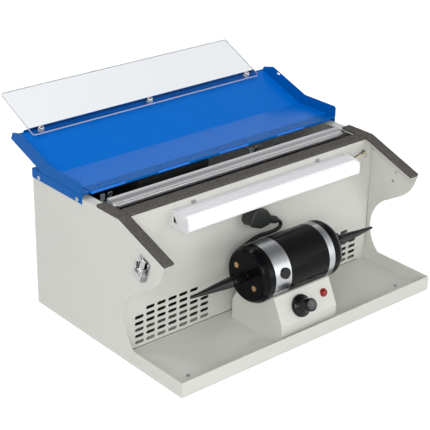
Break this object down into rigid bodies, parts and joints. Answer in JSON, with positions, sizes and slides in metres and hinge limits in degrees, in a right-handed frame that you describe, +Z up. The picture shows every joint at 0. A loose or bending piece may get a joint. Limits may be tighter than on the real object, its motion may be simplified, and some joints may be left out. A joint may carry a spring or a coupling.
{
  "type": "dental polishing lathe",
  "caption": "Bench polishing unit: motor with a tapered spindle at each end on a pedestal, slotted dust wall, lift-out filter, blower, lamp and a hinged blue lid with a clear visor.",
  "frame": {"origin": "middle of the bounding box, at the underside of the feet", "axes": "+X to the right along the spindles, +Y to the rear, +Z up"},
  "size_m": [0.5172, 0.4784, 0.3],
  "materials": {
    "cream_paint": "satin powder coat",
    "blue_paint": "satin powder coat",
    "grey_foam": "open-cell foam",
    "black_foam": "filter foam",
    "aluminium": "natural anodised",
    "satin_aluminium": "turned",
    "zinc_steel": "zinc plated",
    "bright_steel": "plain",
    "bare_steel": "plain",
    "black_steel": "blackened",
    "dark_grey_paint": "satin",
    "black_paint": "gloss",
    "chrome": "polished",
    "brass": "polished",
    "copper": "enamelled wire",
    "carbon": "sintered",
    "white_plastic": "smooth",
    "opal_plastic": "opal",
    "black_plastic": "moulded",
    "red_plastic": "translucent",
    "black_rubber": "moulded",
    "wire_sleeve": "smooth",
    "clear_acrylic": "clear"
  },
  "bodies": {
    "cabinet": {"base_tray": "cream_paint", "brush_caps": "black_plastic", "brush_housing": "satin_aluminium", "carbon_brushes": "carbon", "case_screws": "bright_steel", "drive_end_ring": "satin_aluminium", "end_cap_left": "black_paint", "end_cap_right": "black_paint", "end_cap_screws": "brass", "fan_frame": "black_plastic", "fan_guard": "black_paint", "fan_housing": "dark_grey_paint", "field_coils": "copper", "filter_foam": "black_foam", "filter_frame": "aluminium", "filter_guides": "zinc_steel", "foam_seals": "grey_foam", "hinge_leaf_fixed": "blue_paint", "indicator_lamp": "red_plastic", "inner_panel": "cream_paint", "lamp_clips": "bright_steel", "lamp_diffuser": "opal_plastic", "lamp_end_caps": "white_plastic", "lamp_housing": "white_plastic", "lamp_wires": "wire_sleeve", "latch_bases": "chrome", "lead_gland": "black_rubber", "mains_inlet": "black_plastic", "motor_case": "black_paint", "motor_lead": "black_rubber", "motor_plug": "black_plastic", "motor_saddle": "cream_paint", "panel_socket": "black_plastic", "pedestal_shell": "cream_paint", "rear_panel": "cream_paint", "rubber_feet": "black_rubber", "side_panel_left": "cream_paint", "side_panel_right": "cream_paint", "speed_control": "bare_steel", "spindle_bearings": "bright_steel", "stator_core": "bare_steel", "top_cover": "blue_paint"},
    "lid": {"lid_skin": "blue_paint", "lid_liner": "blue_paint", "visor": "clear_acrylic", "visor_screws": "chrome", "visor_spacers": "white_plastic", "hinge_leaf_lid": "blue_paint"},
    "spindle": {"motor_shaft": "bare_steel", "armature": "bare_steel", "commutator": "copper", "taper_spindle_left": "black_steel", "taper_spindle_right": "black_steel"},
    "blower_rotor": {"fan_rotor": "black_plastic"},
    "knob": {"speed_knob": "black_plastic"},
    "lever_left": {"latch_lever_left": "chrome"},
    "lever_right": {"latch_lever_right": "chrome"},
    "hook_left": {"latch_hook_left": "chrome"},
    "hook_right": {"latch_hook_right": "chrome"},
    "rocker": {"switch_rocker": "black_plastic"}
  },
  "joints": [
    {"name": "lid_hinge", "type": "hinge", "parent": "cabinet", "child": "lid", "pos_m": [0, -0.00954, 0.2244], "axis": [1, 0, 0], "range_deg": [0, 180]},
    {"name": "spindle_spin", "type": "hinge", "parent": "cabinet", "child": "spindle", "pos_m": [0, -0.16484, 0.105], "axis": [1, 0, 0], "continuous": true},
    {"name": "blower_spin", "type": "hinge", "parent": "cabinet", "child": "blower_rotor", "pos_m": [-0.087, 0.09966, 0.1135], "axis": [0, 1, 0], "continuous": true},
    {"name": "speed_knob_turn", "type": "hinge", "parent": "cabinet", "child": "knob", "pos_m": [-0.0134, -0.21152, 0.05476], "axis": [0, -0.8988, 0.4384], "range_deg": [-280, 0]},
    {"name": "lever_left_swing", "type": "hinge", "parent": "cabinet", "child": "lever_left", "pos_m": [-0.2546, -0.14202, 0.15415], "axis": [0, -0.9432, -0.3322], "range_deg": [0, 85]},
    {"name": "lever_right_swing", "type": "hinge", "parent": "cabinet", "child": "lever_right", "pos_m": [0.2546, -0.14202, 0.15415], "axis": [0, 0.9432, 0.3322], "range_deg": [0, 85]},
    {"name": "hook_left_swing", "type": "hinge", "parent": "lever_left", "child": "hook_left", "pos_m": [-0.2542, -0.14484, 0.16217], "axis": [0, -0.9432, -0.3322], "range_deg": [0, 55]},
    {"name": "hook_right_swing", "type": "hinge", "parent": "lever_right", "child": "hook_right", "pos_m": [0.2542, -0.14484, 0.16217], "axis": [0, 0.9432, 0.3322], "range_deg": [0, 55]},
    {"name": "switch_rock", "type": "hinge", "parent": "cabinet", "child": "rocker", "pos_m": [0.15, 0.11636, 0.0735], "axis": [1, 0, 0], "range_deg": [-16, 0]}
  ]
}
